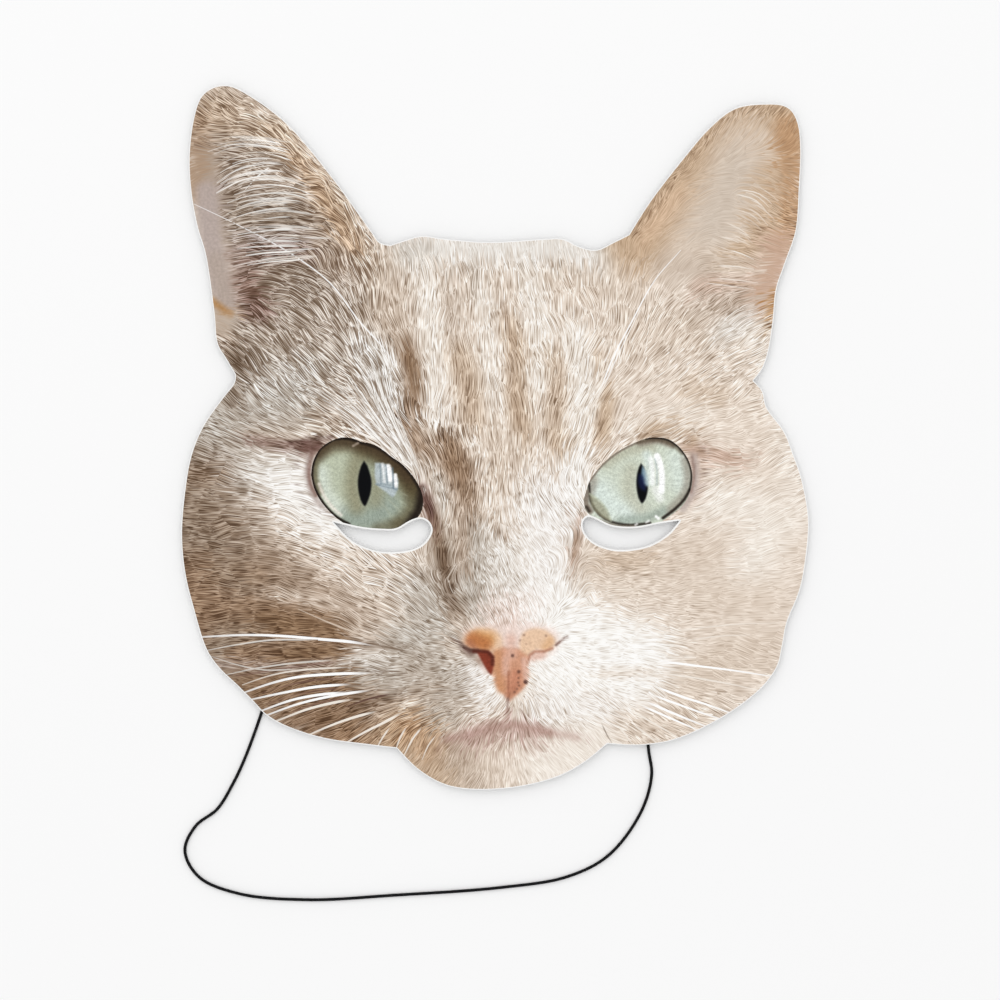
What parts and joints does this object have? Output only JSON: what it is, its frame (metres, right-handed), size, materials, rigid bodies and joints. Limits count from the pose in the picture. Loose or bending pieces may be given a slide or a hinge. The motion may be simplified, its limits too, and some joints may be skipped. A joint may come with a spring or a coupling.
{
  "type": "cat mask",
  "caption": "Flat die-cut card mask printed with a tabby cat's face, with eye slots under the printed eyes and a thin round elastic fastened to the back by stuck-on pads.",
  "frame": {"origin": "on the table, under the middle of the card's outline", "axes": "+X to the right of the printed face as it is looked at, +Y towards the ears, +Z out of the printed side"},
  "size_m": [0.204, 0.2655, 0.0026],
  "materials": {
    "printed_card": "satin print on white card",
    "elastic": "fine round braid",
    "pad": "matt"
  },
  "bodies": {
    "root": {"mask_card": "printed_card", "elastic_cord": "elastic", "cord_pad_left": "pad", "cord_pad_right": "pad"}
  },
  "joints": []
}
